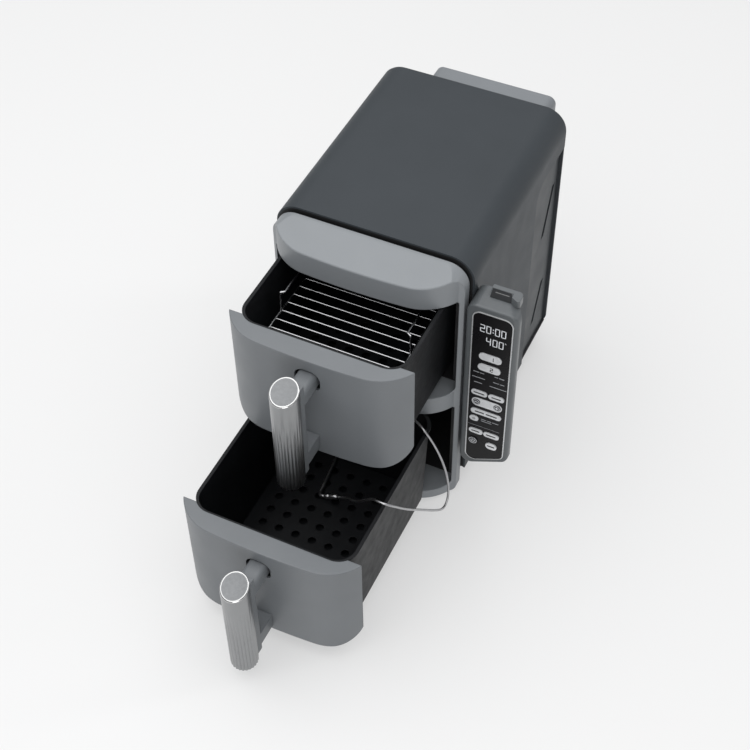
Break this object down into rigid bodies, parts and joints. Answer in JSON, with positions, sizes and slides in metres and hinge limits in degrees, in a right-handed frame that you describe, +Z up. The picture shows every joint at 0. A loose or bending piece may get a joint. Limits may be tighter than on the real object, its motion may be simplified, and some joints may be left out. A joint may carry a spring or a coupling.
{
  "type": "air fryer",
  "caption": "Stacked two-drawer air fryer with a wrap-around case, fluted handles, side control panel, wire rack and leaded probe, drawers pulled out.",
  "frame": {"origin": "bottom centre of the whole object with both drawers pulled out as they rest, on the worktop", "axes": "+X to the right seen from the front, towards the control panel; +Y to the rear; +Z up"},
  "size_m": [0.3, 0.6704, 0.385],
  "materials": {
    "wrap_coat": "satin dark grey with a fine grain",
    "wrap_plastic": "dark grey, fine grain",
    "frame_plastic": "mid grey, fine satin",
    "panel_plastic": "grey, fine satin",
    "cover_plastic": "light grey, fine satin",
    "gap_plastic": "black",
    "pod_plastic": "dark grey, satin",
    "basket_coat": "dark nonstick coat",
    "cavity_coat": "dark enamel",
    "base_steel": "black coat",
    "foot_rubber": "black",
    "handle_steel": "fluted, brushed along",
    "cap_steel": "fine brushed",
    "rack_chrome": "bright wire",
    "heater_steel": "bare",
    "fan_alloy": "bare",
    "motor_steel": "plain",
    "board": "circuit board",
    "fascia_gloss": "black, polished",
    "bezel_silver": "silver line",
    "button_silver": "silver",
    "button_dark": "dark with a light ring",
    "lead_steel": "braid and bright steel"
  },
  "bodies": {
    "housing": {"arrow_plate": "button_silver", "base_pan": "base_steel", "case_screws": "heater_steel", "cord_gland": "gap_plastic", "display_board": "board", "divider_plate": "base_steel", "drawer_switches": "gap_plastic", "fascia": "fascia_gloss", "fascia_bezel": "bezel_silver", "front_frame": "frame_plastic", "front_gasket": "gap_plastic", "lower_cavity": "cavity_coat", "lower_fan_guard": "cavity_coat", "lower_heater": "heater_steel", "lower_motor": "motor_steel", "outer_wrap": "wrap_coat", "pod_housing": "pod_plastic", "power_board": "board", "probe_jack": "gap_plastic", "probe_lead": "lead_steel", "probe_plug": "lead_steel", "rear_cover": "cover_plastic", "rear_panel": "wrap_plastic", "rubber_feet": "foot_rubber", "side_vent_panels": "wrap_plastic", "temperature_sensors": "heater_steel", "upper_cavity": "cavity_coat", "upper_fan_guard": "cavity_coat", "upper_heater": "heater_steel", "upper_motor": "motor_steel"},
    "upper_drawer": {"upper_basket": "basket_coat", "upper_front_panel": "panel_plastic", "upper_handle_bracket": "panel_plastic", "upper_handle_sleeve": "handle_steel", "upper_handle_cap": "cap_steel"},
    "lower_drawer": {"lower_basket": "basket_coat", "lower_front_panel": "panel_plastic", "lower_handle_bracket": "panel_plastic", "lower_handle_sleeve": "handle_steel", "lower_handle_cap": "cap_steel", "lower_crisper_plate": "basket_coat", "probe": "lead_steel"},
    "upper_plate": {"upper_crisper_plate": "basket_coat"},
    "rack": {"wire_rack": "rack_chrome", "rack_loops": "rack_chrome"},
    "upper_rotor": {"upper_fan": "fan_alloy"},
    "lower_rotor": {"lower_fan": "fan_alloy"},
    "probe_store": {"probe_case": "pod_plastic"},
    "heat_key": {"heat_button": "button_silver"},
    "match_key": {"match_button": "button_silver"},
    "minus_key": {"minus_button": "button_dark"},
    "plus_key": {"plus_button": "button_dark"},
    "power_key": {"power_button": "button_dark"},
    "preset_key": {"preset_button": "button_silver"},
    "probe_key": {"probe_button": "button_silver"},
    "start_key": {"start_button": "button_dark"},
    "sync_key": {"sync_button": "button_silver"},
    "time_key": {"time_button": "button_silver"},
    "zone_one_key": {"zone_one_button": "button_silver"},
    "zone_two_key": {"zone_two_button": "button_silver"}
  },
  "joints": [
    {"name": "upper_drawer_slide", "type": "slide", "parent": "housing", "child": "upper_drawer", "axis": [0, -1, 0], "range_m": [-0.111, 0.139]},
    {"name": "lower_drawer_slide", "type": "slide", "parent": "housing", "child": "lower_drawer", "axis": [0, -1, 0], "range_m": [-0.244, 0.006], "deforming": ["probe_lead"]},
    {"name": "upper_plate_lift", "type": "slide", "parent": "upper_drawer", "child": "upper_plate", "axis": [0, 0, 1], "range_m": [0, 0.004]},
    {"name": "rack_lift", "type": "slide", "parent": "upper_plate", "child": "rack", "axis": [0, 0, 1], "range_m": [0, 0.005]},
    {"name": "upper_fan_spin", "type": "hinge", "parent": "housing", "child": "upper_rotor", "pos_m": [-0.03, 0.25, 0.269], "axis": [0, 1, 0], "continuous": true},
    {"name": "lower_fan_spin", "type": "hinge", "parent": "housing", "child": "lower_rotor", "pos_m": [-0.03, 0.25, 0.097], "axis": [0, 1, 0], "continuous": true},
    {"name": "probe_case_slide", "type": "slide", "parent": "housing", "child": "probe_store", "axis": [0, 0, 1], "range_m": [0, 0.045]},
    {"name": "heat_button_press", "type": "slide", "parent": "housing", "child": "heat_key", "axis": [0, 1, 0], "range_m": [0, 0.0008], "stiffness_N_per_m": 400},
    {"name": "match_button_press", "type": "slide", "parent": "housing", "child": "match_key", "axis": [0, 1, 0], "range_m": [0, 0.0008], "stiffness_N_per_m": 400},
    {"name": "minus_button_press", "type": "slide", "parent": "housing", "child": "minus_key", "axis": [0, 1, 0], "range_m": [0, 0.0008], "stiffness_N_per_m": 400},
    {"name": "plus_button_press", "type": "slide", "parent": "housing", "child": "plus_key", "axis": [0, 1, 0], "range_m": [0, 0.0008], "stiffness_N_per_m": 400},
    {"name": "power_button_press", "type": "slide", "parent": "housing", "child": "power_key", "axis": [0, 1, 0], "range_m": [0, 0.0008], "stiffness_N_per_m": 400},
    {"name": "preset_button_press", "type": "slide", "parent": "housing", "child": "preset_key", "axis": [0, 1, 0], "range_m": [0, 0.0008], "stiffness_N_per_m": 400},
    {"name": "probe_button_press", "type": "slide", "parent": "housing", "child": "probe_key", "axis": [0, 1, 0], "range_m": [0, 0.0008], "stiffness_N_per_m": 400},
    {"name": "start_button_press", "type": "slide", "parent": "housing", "child": "start_key", "axis": [0, 1, 0], "range_m": [0, 0.0008], "stiffness_N_per_m": 400},
    {"name": "sync_button_press", "type": "slide", "parent": "housing", "child": "sync_key", "axis": [0, 1, 0], "range_m": [0, 0.0008], "stiffness_N_per_m": 400},
    {"name": "time_button_press", "type": "slide", "parent": "housing", "child": "time_key", "axis": [0, 1, 0], "range_m": [0, 0.0008], "stiffness_N_per_m": 400},
    {"name": "zone_one_button_press", "type": "slide", "parent": "housing", "child": "zone_one_key", "axis": [0, 1, 0], "range_m": [0, 0.0008], "stiffness_N_per_m": 400},
    {"name": "zone_two_button_press", "type": "slide", "parent": "housing", "child": "zone_two_key", "axis": [0, 1, 0], "range_m": [0, 0.0008], "stiffness_N_per_m": 400}
  ]
}
